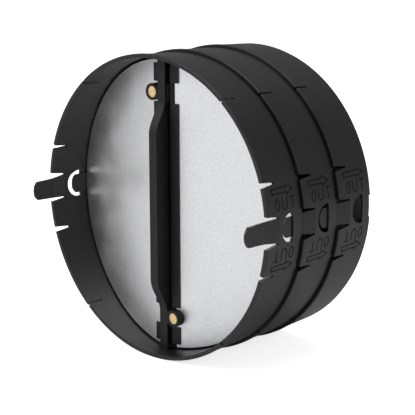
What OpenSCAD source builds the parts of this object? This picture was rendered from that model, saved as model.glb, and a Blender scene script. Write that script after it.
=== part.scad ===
// Three-stage duct damper insert.
// Three equal rings clip together end to end. Each ring carries an upright spine, and each
// spine carries a pair of half-disc flaps that swing open to the rear when air pushes them.
// Millimetres, +Z up, air flows along +Y, origin at the centre of the front rim.

/* [Ring] */
// Outer radius of the rim bead, a close fit inside the duct
rim_r = 75; // [60:1:100]
// Thickness of the wall at the front rim, bead included
rim_wall = 2; // [1.8:0.1:3]
// Height of the rim bead above the wall behind it
bead_h = 0.3; // [0.2:0.05:0.5]
// Width of the rim bead along the duct
bead_w = 2; // [1:0.5:4]
// How much smaller the rear shoulder's radius is than the rim's
rear_drop = 1.45; // [0.8:0.05:1.6]
// Length of a ring from its rim to its rear shoulder
ring_len = 25; // [24:0.5:32]
// Groove left open between a shoulder and the next rim
ring_groove = 0.8; // [0.4:0.1:1.5]
// How far the rear collar reaches into the next ring's mouth
collar_nest = 0.6; // [0.4:0.1:1.5]
// Wall of the rear collar
collar_wall = 0.95; // [0.8:0.05:1.5]

/* [Slits] */
// Depth of the slits that make the rim springy
slit_len = 8.6; // [6:0.2:9]
// Angle of the slits beside the tab, from the horizontal
near_slit_angle = 17; // [14:1:24]
// Width of these slits at the rim
near_slit_mouth = 2.7; // [1.5:0.1:4]
// Angle of the slits further up and down, from the horizontal
far_slit_angle = 51; // [38:1:66]
// Width of the far slits at the rim
far_slit_mouth = 1; // [0.8:0.1:2]
// Width of every slit at its round inner end
slit_end = 0.8; // [0.6:0.1:1.2]

/* [Clip tabs and windows] */
// Length of a tab in front of the rim
tab_len = 12.7; // [11:0.1:13.5]
// Thickness of a tab
tab_wall = 1; // [0.9:0.1:1.2]
// Width of a tab at its root
tab_root_w = 11.4; // [10:0.2:12]
// Width of a tab at the rim plane
tab_rim_w = 10.2; // [9:0.2:11]
// Width of a tab where its round tip starts
tab_tip_w = 9.4; // [8:0.2:10]
// Radius of the round tip
tab_tip_r = 6; // [5.5:0.1:7]
// Width of the bay in the rim that the tab stands in
bay_w = 15.4; // [14:0.2:17]
// Height of the catch on the tab's tip
catch_h = 0.35; // [0.2:0.05:0.6]
// Radius of the round side of the D window
window_r = 7; // [6.5:0.1:7.5]
// Distance from the rim to the straight side of the D window
window_flat_y = 19; // [18.5:0.1:20.5]
// Depth of the D window along the duct
window_depth = 8.3; // [7.5:0.1:9]

/* [Spine] */
// Width of the spine across the duct
spine_w = 5; // [4:0.2:6]
// Distance from the rim to the front of the spine's slim ends
spine_y = 7.8; // [7:0.1:9]
// Distance from the rim to the front of the spine's deep middle
fin_y = 1.6; // [0.5:0.1:5]
// Half height of the full depth fin
fin_half_h = 36; // [25:1:40]
// Height over which the fin runs out into the slim end
fin_runout = 17; // [8:1:20]

/* [Flaps] */
// Distance from the spine's middle to a hinge pin
hinge_x = 3.4; // [3.2:0.1:4.5]
// Distance from the rim to the hinge pins
hinge_y = 12; // [11.8:0.1:13]
// Radius of a hinge pin
pin_r = 1; // [0.8:0.1:1.2]
// Outer radius of the hinge knuckles
knuckle_r = 1.9; // [1.7:0.05:2]
// Sweep of the closed flaps towards the rear, in degrees
sweep = 9.8; // [6:0.2:11]
// Thickness of the flap sheet
sheet_t = 0.8; // [0.5:0.1:1]
// Gap between a flap's round edge and the ring
flap_gap = 0.6; // [0.4:0.1:1.5]
// Reach of the grip that holds the sheet
grip_len = 5.6; // [4:0.2:8]

/* [Magnets] */
// Radius of a magnet
magnet_r = 2.7; // [2:0.1:3]
// Outer radius of the barrel round a magnet
barrel_r = 4.1; // [3.6:0.1:4.4]
// Distance from the spine's middle to a magnet
magnet_x = 6.5; // [6:0.1:8]
// Distance from the duct axis to a magnet, up or down
magnet_z = 55.7; // [50:0.1:58]

/* [Hidden] */
$fn = 96;

// Small clearances: parts that slide, parts that seat, and cuts that run past a face
slide_gap = 0.1;
seat_gap = 0.05;
past = 1;
// Gap kept between moving plastic parts
free_gap = 0.3;
// Running clearances of the pin in the spine's lugs and in the flap's knuckles
lug_clearance = 0.03;
knuckle_clearance = 0.06;

pitch = ring_len + ring_groove;
collar_end = pitch + collar_nest;
mouth_r = rim_r - rim_wall;
collar_r = mouth_r - slide_gap;
bore_end_r = collar_r - collar_wall;
shoulder_r = rim_r - rear_drop;
edge_round = 0.4;

// Radius of the outside and of the bore at a distance y behind the rim
function body_r(y) = rim_r - bead_h - (rear_drop - bead_h) * (y - bead_w) / (ring_len - bead_w);
function bore_r(y) = mouth_r - (mouth_r - bore_end_r) * y / collar_end;

// Tab: its outer face lies inside the mouth's radius, so it slides into the next ring's channel
tab_r = mouth_r - 0.2;
channel_r = tab_r + slide_gap;
channel_w = tab_rim_w + 2 * free_gap;
tab_root_overlap = 0.6;
catch_start = window_flat_y - pitch - free_gap;
tip_centre = tab_tip_r - tab_len;
tip_start = tip_centre - sqrt(tab_tip_r ^ 2 - (tab_tip_w / 2) ^ 2);

// Hinge: sheet and grip are drawn beside the pin, with the pin at the origin, the flap running
// out along +X and the air coming from -Y
sheet_front = 1.25;
sheet_start = 2.3;
sheet_back = sheet_front - sheet_t;
grip_back = 1;
lip_len = 4.6;
lug_half_h = 4.7;
lug_top = magnet_z + lug_half_h;
lug_bottom = magnet_z - lug_half_h;
knuckle_end = magnet_z + 13.8;
web_w = 2 * (hinge_x - knuckle_r - free_gap);
web_end_y = hinge_y + knuckle_r;
bar_end_y = hinge_y - knuckle_r - free_gap;
flap_edge_y = hinge_y + rim_r * sin(sweep);
flap_r = bore_r(flap_edge_y) - flap_gap;

// Spine seat: the ends stand in shallow sockets in the ring
socket_z = body_r(web_end_y) - 0.9;
spine_half_h = socket_z - seat_gap;
cheek_top = bore_end_r - 0.5;

// Magnet barrel: its rear face lies parallel to the closed flap
barrel_y = spine_y - 0.1;
barrel_flap_gap = 0.15;
magnet_recess = 0.3;
magnet_t = 2.2;
magnet_web_h = 6;

// Turns a drawing of width by length into a block that stands out from the duct axis along +X
module radial_block() {
    rotate([0, 90, 0]) linear_extrude(rim_r + 5) children();
}

// Same block at an angle round the duct, on both sides of the horizontal and of the middle
module four_ways(angle) {
    for (a = [angle, -angle, 180 - angle, 180 + angle])
        rotate([0, a, 0]) radial_block() children();
}

module both_sides() {
    children();
    mirror([1, 0, 0]) children();
}

// Puts a drawing of radius by distance behind the rim round the duct axis
module round_duct() {
    rotate([-90, 0, 0]) rotate_extrude($fn = 180) children();
}

// Quarter round, from one end angle to the other
function arc(cx, cy, r, from, to, steps = 4) =
    [for (i = [0:steps]) let (a = from + (to - from) * i / steps) [cx + r * cos(a), cy + r * sin(a)]];

module ring_section() {
    polygon(concat(
        [[mouth_r, 0]],
        arc(rim_r - edge_round, edge_round, edge_round, -90, 0),
        [[rim_r, bead_w - bead_h],
         [body_r(bead_w), bead_w],
         [body_r(ring_len - edge_round), ring_len - edge_round],
         [shoulder_r - edge_round, ring_len],
         [collar_r, ring_len],
         [collar_r, collar_end - slide_gap],
         [collar_r - slide_gap, collar_end],
         [bore_end_r, collar_end]]));
}

// Wedge slit with a round inner end
module slit_outline(mouth, angle_width) {
    end_y = slit_len - angle_width / 2;
    polygon([[-mouth / 2, -past], [mouth / 2, -past],
             [angle_width / 2, end_y], [-angle_width / 2, end_y]]);
    translate([0, end_y]) circle(d = angle_width, $fn = 24);
}

// Opening in the rim for the tab, down to the slits' round ends
module bay_outline() {
    end_y = slit_len - slit_end / 2;
    root_w = tab_root_w + 2 * slit_end;
    polygon([[-bay_w / 2, -past], [bay_w / 2, -past], [root_w / 2, end_y], [-root_w / 2, end_y]]);
    translate([-tab_root_w / 2 - slit_end / 2, end_y - past])
        square([tab_root_w + slit_end, slit_end / 2 + past]);
    for (side = [-1, 1])
        translate([side * (tab_root_w + slit_end) / 2, end_y]) circle(d = slit_end, $fn = 24);
}

module tab_outline() {
    polygon([[-tab_tip_w / 2, tip_start], [tab_tip_w / 2, tip_start],
             [tab_rim_w / 2, 0], [tab_root_w / 2, slit_len - slit_end / 2],
             [tab_root_w / 2, slit_len + tab_root_overlap],
             [-tab_root_w / 2, slit_len + tab_root_overlap],
             [-tab_root_w / 2, slit_len - slit_end / 2], [-tab_rim_w / 2, 0]]);
    intersection() {
        translate([0, tip_centre]) circle(r = tab_tip_r);
        translate([-tab_tip_w / 2, -tab_len - past]) square([tab_tip_w, tip_start + tab_len + 1.5 * past]);
    }
}

// Section of the tab: it slopes in from the wall to the rim plane, then runs on straight
module tab_section() {
    inner_r = tab_r - tab_wall;
    polygon([[inner_r, -tab_len - past], [tab_r, -tab_len - past], [tab_r, 0],
             [body_r(slit_len), slit_len],
             [body_r(slit_len) - 2 * slide_gap, slit_len + tab_root_overlap],
             [channel_r, slit_len + tab_root_overlap], [channel_r, slit_len], [inner_r, 0]]);
}

module catch_section() {
    polygon([[tab_r - tab_wall / 2, -tab_len - past], [tab_r, -tab_len - past],
             [tab_r, -tab_len], [tab_r + catch_h, -tab_len + 2 * catch_h],
             [tab_r + catch_h, catch_start], [tab_r - tab_wall / 2, catch_start]]);
}

module tab() {
    intersection() {
        round_duct() tab_section();
        radial_block() tab_outline();
    }
    intersection() {
        round_duct() catch_section();
        radial_block() tab_outline();
    }
}

// D window: a circle cut straight on its rear side
module window_outline() {
    intersection() {
        translate([0, window_flat_y - window_depth + window_r]) circle(r = window_r);
        translate([-window_r - past, window_flat_y - 2 * window_r])
            square([2 * (window_r + past), 2 * window_r]);
    }
}

// Channel inside the wall that the next ring's tab slides along
module channel() {
    intersection() {
        round_duct() translate([mouth_r - 5, slit_len]) square([channel_r - mouth_r + 5, ring_len]);
        radial_block() translate([-channel_w / 2, 0]) square([channel_w, 2 * ring_len]);
    }
}

module spine_sockets() {
    width = spine_w + 2 * seat_gap;
    for (end = [0, 1])
        mirror([0, 0, end])
            translate([-width / 2, spine_y - seat_gap, socket_z - 4])
                cube([width, web_end_y - spine_y + 2 * seat_gap, 4]);
}

module ring() {
    color("#232426") {
        difference() {
            round_duct() ring_section();
            four_ways(near_slit_angle) slit_outline(near_slit_mouth, slit_end);
            four_ways(far_slit_angle) slit_outline(far_slit_mouth, slit_end);
            both_sides() radial_block() bay_outline();
            both_sides() radial_block() window_outline();
            both_sides() channel();
            spine_sockets();
        }
        both_sides() tab();
    }
}

// Side view of the front of the spine: slim at its ends, deep in the middle
module spine_side() {
    steps = 12;
    upper = [for (i = [0:steps])
        let (t = i / steps)
        [fin_y + (spine_y - fin_y) * (1 - cos(180 * t)) / 2, fin_half_h + fin_runout * t]];
    lower = [for (i = [steps:-1:0]) [upper[i][0], -upper[i][1]]];
    polygon(concat([[bar_end_y, spine_half_h], [bar_end_y, -spine_half_h], [spine_y, -spine_half_h]],
                   lower, upper, [[spine_y, spine_half_h]]));
}

// Places a drawing of the flap's own frame at the right hand hinge, closed
module at_hinge() {
    translate([hinge_x, hinge_y, 0]) rotate([0, 0, sweep]) children();
}

// Pair of lugs round both hinge pins, joined behind the bar
module lug_pair(from, to) {
    translate([0, 0, from]) linear_extrude(to - from) {
        translate([-hinge_x, bar_end_y - past])
            square([2 * hinge_x, web_end_y - bar_end_y + past]);
        for (side = [-1, 1]) translate([side * hinge_x, hinge_y]) circle(r = knuckle_r, $fn = 48);
    }
}

// Barrel for a magnet, at the lower right
module barrel() {
    difference() {
        union() {
            translate([magnet_x, barrel_y, -magnet_z]) rotate([-90, 0, 0]) cylinder(r = barrel_r, h = 8);
            translate([0, spine_y + slide_gap, -magnet_z - magnet_web_h / 2])
                cube([magnet_x, bar_end_y - spine_y - slide_gap, magnet_web_h]);
        }
        at_hinge() translate([-20, -sheet_front - barrel_flap_gap, -2 * magnet_z])
            cube([60, 30, 2 * magnet_z]);
        translate([magnet_x, barrel_y - past, -magnet_z]) rotate([-90, 0, 0])
            cylinder(r = magnet_r + seat_gap, h = past + magnet_recess + magnet_t);
    }
}

module spine() {
    color("#1d1e20") difference() {
        union() {
            translate([-spine_w / 2, 0, 0]) rotate([90, 0, 90]) linear_extrude(spine_w) spine_side();
            translate([-web_w / 2, bar_end_y - past, -spine_half_h])
                cube([web_w, web_end_y - bar_end_y + past, 2 * spine_half_h]);
            for (end = [0, 1]) mirror([0, 0, end]) {
                lug_pair(lug_bottom, lug_top);
                lug_pair(knuckle_end + free_gap, cheek_top);
                translate([-spine_w / 2, spine_y, knuckle_end + free_gap])
                    cube([spine_w, web_end_y - spine_y, spine_half_h - knuckle_end - free_gap]);
            }
            barrel();
            rotate([0, 180, 0]) barrel();
        }
        both_sides() translate([hinge_x, hinge_y, -lug_top - past])
            cylinder(r = pin_r + lug_clearance, h = 2 * (lug_top + past), $fn = 48);
    }
}

module flap_sheet() {
    color("#b9bbbd") intersection() {
        at_hinge() translate([sheet_start, -sheet_front, -rim_r]) cube([rim_r, sheet_t, 2 * rim_r]);
        rotate([-90, 0, 0]) cylinder(r = flap_r, h = pitch, $fn = 180);
    }
}

// Section of the grip where it wraps the pin
module grip_knuckle() {
    difference() {
        union() {
            circle(r = knuckle_r, $fn = 48);
            translate([0, -knuckle_r]) square([lip_len, knuckle_r - sheet_front]);
            translate([0, -knuckle_r]) square([sheet_start - slide_gap, knuckle_r + grip_back - sheet_back]);
            grip_strip(0);
        }
        circle(r = pin_r + knuckle_clearance, $fn = 48);
    }
}

// Section of the strip behind the sheet
module grip_strip(start) {
    translate([start, -sheet_back]) square([grip_len - start, grip_back]);
}

module flap_grip() {
    color("#2a2b2d") at_hinge() difference() {
        union() {
            translate([0, 0, -knuckle_end]) linear_extrude(2 * knuckle_end)
                grip_strip(knuckle_r + free_gap);
            translate([0, 0, -lug_bottom + free_gap])
                linear_extrude(2 * (lug_bottom - free_gap)) grip_knuckle();
            for (end = [0, 1]) mirror([0, 0, end])
                translate([0, 0, lug_top + free_gap])
                    linear_extrude(knuckle_end - lug_top - free_gap) grip_knuckle();
        }
    }
}

module hinge_pin() {
    color("#8f9194") translate([hinge_x, hinge_y, -knuckle_end])
        cylinder(r = pin_r, h = 2 * knuckle_end, $fn = 48);
}

// Magnet at the lower right
module magnet() {
    color("#c8a05f") translate([magnet_x, barrel_y + magnet_recess, -magnet_z])
        rotate([-90, 0, 0]) cylinder(r = magnet_r, h = magnet_t, $fn = 64);
}

// Left hand pieces mirror the right hand ones, and the upper magnet turns the lower one over
module left() {
    mirror([1, 0, 0]) children();
}

module upper() {
    rotate([0, 180, 0]) children();
}

// Places a stage: 0 front, 1 middle, 2 rear
module stage(number) {
    translate([0, number * pitch, 0]) children();
}

stage(0) ring();  // front_ring
stage(1) ring();  // middle_ring
stage(2) ring();  // rear_ring
stage(0) spine();  // front_spine
stage(1) spine();  // middle_spine
stage(2) spine();  // rear_spine
stage(0) left() flap_sheet();  // front_left_flap
stage(0) flap_sheet();  // front_right_flap
stage(1) left() flap_sheet();  // middle_left_flap
stage(1) flap_sheet();  // middle_right_flap
stage(2) left() flap_sheet();  // rear_left_flap
stage(2) flap_sheet();  // rear_right_flap
stage(0) left() flap_grip();  // front_left_hinge_grip
stage(0) flap_grip();  // front_right_hinge_grip
stage(1) left() flap_grip();  // middle_left_hinge_grip
stage(1) flap_grip();  // middle_right_hinge_grip
stage(2) left() flap_grip();  // rear_left_hinge_grip
stage(2) flap_grip();  // rear_right_hinge_grip
stage(0) left() hinge_pin();  // front_left_hinge_pin
stage(0) hinge_pin();  // front_right_hinge_pin
stage(1) left() hinge_pin();  // middle_left_hinge_pin
stage(1) hinge_pin();  // middle_right_hinge_pin
stage(2) left() hinge_pin();  // rear_left_hinge_pin
stage(2) hinge_pin();  // rear_right_hinge_pin
stage(0) upper() magnet();  // front_upper_magnet
stage(0) magnet();  // front_lower_magnet
stage(1) upper() magnet();  // middle_upper_magnet
stage(1) magnet();  // middle_lower_magnet
stage(2) upper() magnet();  // rear_upper_magnet
stage(2) magnet();  // rear_lower_magnet
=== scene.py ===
"""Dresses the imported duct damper: finishes, moulded marks, floor, lights and camera.

Everything is in metres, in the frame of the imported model: +Y along the duct, +Z up.
"""
import math

import bmesh
import bpy
from mathutils import Matrix, Vector


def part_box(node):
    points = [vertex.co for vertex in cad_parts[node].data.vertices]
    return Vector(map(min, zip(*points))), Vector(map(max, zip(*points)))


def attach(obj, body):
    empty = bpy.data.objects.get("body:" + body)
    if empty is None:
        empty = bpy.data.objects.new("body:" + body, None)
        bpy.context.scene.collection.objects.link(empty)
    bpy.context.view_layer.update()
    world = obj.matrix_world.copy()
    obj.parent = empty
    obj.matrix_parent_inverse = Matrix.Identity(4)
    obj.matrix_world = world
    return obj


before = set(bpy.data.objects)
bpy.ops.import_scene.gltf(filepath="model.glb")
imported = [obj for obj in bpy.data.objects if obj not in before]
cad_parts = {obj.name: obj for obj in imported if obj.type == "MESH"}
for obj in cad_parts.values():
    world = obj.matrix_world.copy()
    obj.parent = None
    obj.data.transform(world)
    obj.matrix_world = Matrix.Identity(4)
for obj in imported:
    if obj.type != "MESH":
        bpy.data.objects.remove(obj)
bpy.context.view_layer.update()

MM = 0.001
STAGES = ("front", "middle", "rear")
SIDES = ("left", "right")
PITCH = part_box("middle_ring")[0][1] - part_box("front_ring")[0][1]
RIM_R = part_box("front_ring")[1][2]
FLOOR_Z = -RIM_R

# Wall of a ring behind its rim bead: its radius there, and how it tapers to the rear
BEAD_W = 2 * MM
WALL_R = RIM_R - 0.3 * MM
WALL_TAPER = 0.05

# Strokes of the moulded marks: near-black strips of painted shade along the edges of the moulded relief
STROKE_W = 0.7 * MM
MARK_RISE = 0.03 * MM
MARK_SINK = 0.15 * MM


# Node helpers

def new_material(name):
    """A node material, with its tree and its Principled shader."""
    mat = bpy.data.materials.new(name)
    mat.use_nodes = True
    tree = mat.node_tree
    shader = tree.nodes["Principled BSDF"]
    return mat, tree, shader


def add(tree, kind, **settings):
    node = tree.nodes.new(kind)
    for key, value in settings.items():
        setattr(node, key, value)
    return node


def noise(tree, coords, scale, detail=3.0, roughness=0.5, stretch=(1.0, 1.0, 1.0)):
    """Noise in object coordinates. Scale is in features per metre."""
    mapping = add(tree, "ShaderNodeMapping")
    mapping.inputs["Scale"].default_value = stretch
    tree.links.new(coords.outputs["Object"], mapping.inputs["Vector"])
    node = add(tree, "ShaderNodeTexNoise")
    node.inputs["Scale"].default_value = scale
    node.inputs["Detail"].default_value = detail
    node.inputs["Roughness"].default_value = roughness
    tree.links.new(mapping.outputs["Vector"], node.inputs["Vector"])
    return node


def remap(tree, socket, low, high, out_low, out_high):
    node = add(tree, "ShaderNodeMapRange")
    for name, value in (("From Min", low), ("From Max", high), ("To Min", out_low), ("To Max", out_high)):
        node.inputs[name].default_value = value
    tree.links.new(socket, node.inputs["Value"])
    return node.outputs["Result"]


def ramp(tree, socket, low_color, high_color, low=0.35, high=0.65):
    node = add(tree, "ShaderNodeValToRGB")
    node.color_ramp.elements[0].position = low
    node.color_ramp.elements[0].color = (*low_color, 1.0)
    node.color_ramp.elements[1].position = high
    node.color_ramp.elements[1].color = (*high_color, 1.0)
    tree.links.new(socket, node.inputs["Fac"])
    return node.outputs["Color"]


def bump(tree, shader, layers):
    """Bump from (height socket, strength, distance in metres) layers, chained."""
    last = None
    for height, strength, distance in layers:
        node = add(tree, "ShaderNodeBump")
        node.inputs["Strength"].default_value = strength
        node.inputs["Distance"].default_value = distance
        tree.links.new(height, node.inputs["Height"])
        if last:
            tree.links.new(last.outputs["Normal"], node.inputs["Normal"])
        last = node
    tree.links.new(last.outputs["Normal"], shader.inputs["Normal"])


# Finishes

def black_plastic(name, dark, light, gloss, specular):
    """Moulded black plastic with a faint spark-eroded grain and slow changes of sheen."""
    mat, tree, shader = new_material(name)
    coords = add(tree, "ShaderNodeTexCoord")
    slow = noise(tree, coords, 22.0, 2.0)
    grain = noise(tree, coords, 2600.0, 2.0)
    tree.links.new(ramp(tree, slow.outputs["Fac"], dark, light), shader.inputs["Base Color"])
    tree.links.new(remap(tree, slow.outputs["Fac"], 0.3, 0.7, gloss - 0.03, gloss + 0.05),
                   shader.inputs["Roughness"])
    shader.inputs["Specular IOR Level"].default_value = specular
    bump(tree, shader, [(grain.outputs["Fac"], 0.12, 0.00005)])
    return mat


def satin_sheet():
    """Silver sheet with a fine sparkling grain, as on galvanised or powder-finished metal."""
    mat, tree, shader = new_material("satin_sheet")
    coords = add(tree, "ShaderNodeTexCoord")
    grain = noise(tree, coords, 1500.0, 4.0, 0.7)
    mottle = noise(tree, coords, 90.0, 3.0, 0.6)
    tree.links.new(ramp(tree, grain.outputs["Fac"], (0.74, 0.745, 0.755), (0.90, 0.905, 0.91)),
                   shader.inputs["Base Color"])
    shader.inputs["Metallic"].default_value = 1.0
    tree.links.new(remap(tree, mottle.outputs["Fac"], 0.3, 0.7, 0.38, 0.48), shader.inputs["Roughness"])
    bump(tree, shader, [(grain.outputs["Fac"], 0.45, 0.00008), (mottle.outputs["Fac"], 0.12, 0.0003)])
    return mat


def drawn_steel():
    mat, tree, shader = new_material("drawn_steel")
    coords = add(tree, "ShaderNodeTexCoord")
    lines = noise(tree, coords, 1500.0, 2.0, 0.5, (1.0, 1.0, 0.02))
    tree.links.new(ramp(tree, lines.outputs["Fac"], (0.42, 0.42, 0.43), (0.56, 0.56, 0.57)),
                   shader.inputs["Base Color"])
    shader.inputs["Metallic"].default_value = 1.0
    tree.links.new(remap(tree, lines.outputs["Fac"], 0.3, 0.7, 0.25, 0.38), shader.inputs["Roughness"])
    bump(tree, shader, [(lines.outputs["Fac"], 0.1, 0.00005)])
    return mat


def brass_plate():
    """Plated magnet face: warm, satin, slightly uneven."""
    mat, tree, shader = new_material("brass_plate")
    coords = add(tree, "ShaderNodeTexCoord")
    tone = noise(tree, coords, 500.0, 3.0)
    tree.links.new(ramp(tree, tone.outputs["Fac"], (0.80, 0.56, 0.28), (0.93, 0.72, 0.42)),
                   shader.inputs["Base Color"])
    shader.inputs["Metallic"].default_value = 1.0
    tree.links.new(remap(tree, tone.outputs["Fac"], 0.3, 0.7, 0.30, 0.44), shader.inputs["Roughness"])
    bump(tree, shader, [(tone.outputs["Fac"], 0.15, 0.00008)])
    return mat


def put_on(node, material):
    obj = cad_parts[node]
    obj.data.materials.clear()
    obj.data.materials.append(material)


ring_plastic = black_plastic("ring_plastic", (0.006, 0.0062, 0.0068), (0.009, 0.0092, 0.0098), 0.42, 0.42)
spine_plastic = black_plastic("spine_plastic", (0.004, 0.004, 0.0045), (0.006, 0.006, 0.0065), 0.45, 0.3)
# Marks material: darker than the ring, painted shade for the shaded walls of the moulded letters and
# arrow
mark_painted_shade = black_plastic("mark_painted_shade", (0.002, 0.002, 0.002), (0.003, 0.003, 0.003), 0.6, 0.15)
sheet_metal = satin_sheet()
steel = drawn_steel()
brass = brass_plate()

for stage in STAGES:
    put_on(stage + "_ring", ring_plastic)
    put_on(stage + "_spine", spine_plastic)
    for side in SIDES:
        put_on(f"{stage}_{side}_flap", sheet_metal)
        put_on(f"{stage}_{side}_hinge_grip", spine_plastic)
        put_on(f"{stage}_{side}_hinge_pin", steel)
    for end in ("upper", "lower"):
        put_on(f"{stage}_{end}_magnet", brass)


# Moulded marks: drawn in millimetres, as height round the wall by distance behind the rim. Their strokes
# are near-black, painted shade for the shaded walls of the moulded relief

LETTER_LOW = 9.4
LETTER_HIGH = 14.7
LETTER_TURN_Y = 13.5


def oval_letter():
    middle = (LETTER_LOW + LETTER_HIGH) / 2
    turns = [math.radians(15 * i) for i in range(24)]
    return [(middle + 2.65 * math.cos(t), 8.3 + 1.4 * math.sin(t)) for t in turns]


def u_letter():
    near, far = 11.95, 15.45
    round_r = (far - near) / 2
    turns = [math.radians(15 * i) for i in range(13)]
    bend = [(LETTER_LOW + round_r - round_r * math.sin(t), near + round_r - round_r * math.cos(t))
            for t in turns]
    return [(LETTER_HIGH + 0.3, near), *bend, (LETTER_HIGH + 0.3, far)]


def arrow():
    """Outline of a block arrow that points to the rear."""
    centre, shaft, barb = 18.33, 1.18, 2.25
    start, head, tip = 5.4, 15.8, 20.6
    return [(centre - shaft, start), (centre - shaft, head), (centre - barb, head), (centre, tip),
            (centre + barb, head), (centre + shaft, head), (centre + shaft, start)]


# Each stroke: its points, whether it closes on itself, and whether it is part of a letter
STROKES = (
    (oval_letter(), True, True),
    (u_letter(), False, True),
    ([(LETTER_HIGH, 17.4), (LETTER_HIGH, 21.2)], False, True),
    ([(LETTER_HIGH, 19.3), (LETTER_LOW - 0.3, 19.3)], False, True),
    (arrow(), True, False),
)


def fine(path, closed):
    """The path with points no more than a millimetre apart, so that it follows the round wall."""
    ends = path[1:] + path[:1] if closed else path[1:]
    points = []
    for start, end in zip(path, ends):
        steps = max(1, math.ceil((end - start).length / MM))
        points += [start.lerp(end, i / steps) for i in range(steps)]
    return points if closed else points + [path[-1]]


def on_wall(point, lift, rim_y, turn):
    """Place in space of a drawn point. A turn of -1 puts it on the far side of the duct."""
    angle = point.x / WALL_R
    radius = WALL_R - WALL_TAPER * (point.y - BEAD_W) + lift
    return turn * radius * math.cos(angle), rim_y + point.y, turn * radius * math.sin(angle)


def ribbon(mesh, path, closed, rim_y, turn):
    """Flat stroke with square edges along a path, a little proud of the wall."""
    points = fine(path, closed)
    count = len(points)
    rows = []
    for i, point in enumerate(points):
        before = points[i - 1] if closed or i > 0 else 2 * point - points[1]
        after = points[(i + 1) % count] if closed or i < count - 1 else 2 * point - points[i - 1]
        arrive = (point - before).normalized()
        leave = (after - point).normalized()
        along = (arrive + leave).normalized()
        across = Vector((-along.y, along.x))
        miter = 1 / max(0.5, across.dot(Vector((-arrive.y, arrive.x))))
        offset = across * (STROKE_W / 2 * miter)
        rows.append([mesh.verts.new(on_wall(edge, lift, rim_y, turn))
                     for edge, lift in ((point - offset, -MARK_SINK), (point - offset, MARK_RISE),
                                        (point + offset, MARK_RISE), (point + offset, -MARK_SINK))])
    pairs = list(zip(rows, rows[1:])) + ([(rows[-1], rows[0])] if closed else [])
    for here, there in pairs:
        for i in range(4):
            j = (i + 1) % 4
            mesh.faces.new((here[i], here[j], there[j], there[i]))
    if not closed:
        mesh.faces.new(rows[0])
        mesh.faces.new(rows[-1])


def ring_marks(stage, rim_y):
    """OUT and an arrow, above and below the clip tab, on both sides of a ring, as near-black strokes of
    painted shade.
    """
    mesh = bmesh.new()
    for turn in (1, -1):
        for half in (1, -1):
            for stroke, closed, is_letter in STROKES:
                turned = is_letter and half == -1
                path = [Vector((half * up, 2 * LETTER_TURN_Y - y if turned else y)) * MM
                        for up, y in stroke]
                ribbon(mesh, path, closed, rim_y, turn)
    bmesh.ops.recalc_face_normals(mesh, faces=mesh.faces)
    data = bpy.data.meshes.new(f"{stage}_ring_marks")
    mesh.to_mesh(data)
    mesh.free()
    data.materials.append(mark_painted_shade)
    piece = bpy.data.objects.new(f"{stage}_ring_marks", data)
    bpy.context.scene.collection.objects.link(piece)
    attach(piece, "frame")


for number, stage in enumerate(STAGES):
    ring_marks(stage, number * PITCH)


# Camera

def make_camera():
    """Long lens from the front right, a little above, as the photograph was taken."""
    azimuth, height, roll = (math.radians(a) for a in (43.557, 12.884, -0.189))
    back = Vector((math.sin(azimuth) * math.cos(height), -math.cos(azimuth) * math.cos(height),
                   math.sin(height)))
    right = Vector((math.cos(azimuth), math.sin(azimuth), 0.0))
    up = back.cross(right)
    right_rolled = math.cos(roll) * right + math.sin(roll) * up
    up_rolled = -math.sin(roll) * right + math.cos(roll) * up
    data = bpy.data.cameras.new("camera")
    data.sensor_width = 36.0
    data.lens = 126.1
    camera = bpy.data.objects.new("camera", data)
    turn = Matrix((right_rolled, up_rolled, back)).transposed()
    camera.matrix_world = Matrix.Translation((0.49111, -0.47687, 0.15721)) @ turn.to_4x4()
    bpy.context.scene.collection.objects.link(camera)
    bpy.context.scene.camera = camera


make_camera()


# Floor and light

WORLD_LIGHT = 0.3
FLOOR_GLOW = 0.76


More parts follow.
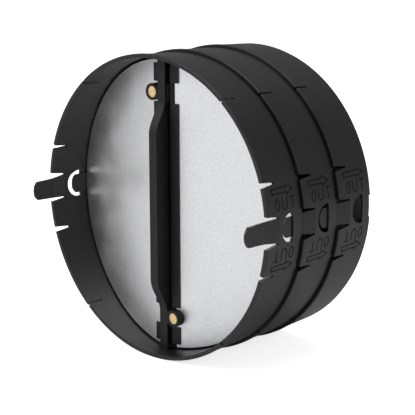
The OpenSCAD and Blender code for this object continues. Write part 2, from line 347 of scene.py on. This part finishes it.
def make_floor():
    """Pale floor whose own colour shows white, and which keeps the object's shadow."""
    mesh = bpy.data.meshes.new("floor")
    reach = 6.0
    mesh.from_pydata([(-reach, -reach, FLOOR_Z), (reach, -reach, FLOOR_Z),
                      (reach, reach, FLOOR_Z), (-reach, reach, FLOOR_Z)], [], [(0, 1, 2, 3)])
    floor = bpy.data.objects.new("floor", mesh)
    bpy.context.scene.collection.objects.link(floor)
    mat, tree, shader = new_material("floor_white")
    shader.inputs["Base Color"].default_value = (0.86, 0.86, 0.86, 1.0)
    shader.inputs["Roughness"].default_value = 0.9
    shader.inputs["Specular IOR Level"].default_value = 0.0
    path = add(tree, "ShaderNodeLightPath")
    glow = add(tree, "ShaderNodeEmission")
    tree.links.new(remap(tree, path.outputs["Is Camera Ray"], 0.0, 1.0, 0.0, FLOOR_GLOW),
                   glow.inputs["Strength"])
    both = add(tree, "ShaderNodeAddShader")
    tree.links.new(shader.outputs[0], both.inputs[0])
    tree.links.new(glow.outputs[0], both.inputs[1])
    tree.links.new(both.outputs[0], tree.nodes["Material Output"].inputs["Surface"])
    mesh.materials.append(mat)


def make_world():
    """White to the camera, dimmer as a light."""
    world = bpy.data.worlds.new("studio")
    bpy.context.scene.world = world
    world.use_nodes = True
    tree = world.node_tree
    path = add(tree, "ShaderNodeLightPath")
    background = tree.nodes["Background"]
    background.inputs["Color"].default_value = (1.0, 1.0, 1.0, 1.0)
    tree.links.new(remap(tree, path.outputs["Is Camera Ray"], 0.0, 1.0, WORLD_LIGHT, 1.0),
                   background.inputs["Strength"])


def soft_box(name, place, target, size, power):
    """Square area lamp that looks at the target."""
    data = bpy.data.lights.new(name, "AREA")
    data.shape = "SQUARE"
    data.size = size
    data.energy = power
    lamp = bpy.data.objects.new(name, data)
    lamp.location = place
    lamp.rotation_euler = (Vector(target) - Vector(place)).to_track_quat("-Z", "Y").to_euler()
    bpy.context.scene.collection.objects.link(lamp)


make_floor()
make_world()
MIDDLE = (0.0, 0.03, 0.0)
soft_box("key", (-0.5, -1.1, 0.9), MIDDLE, 0.9, 14.0)
soft_box("fill", (1.3, -0.2, 0.5), MIDDLE, 0.8, 5.0)
soft_box("top", (0.1, 0.2, 1.4), MIDDLE, 1.0, 8.0)

bpy.context.scene.view_settings.view_transform = "Standard"
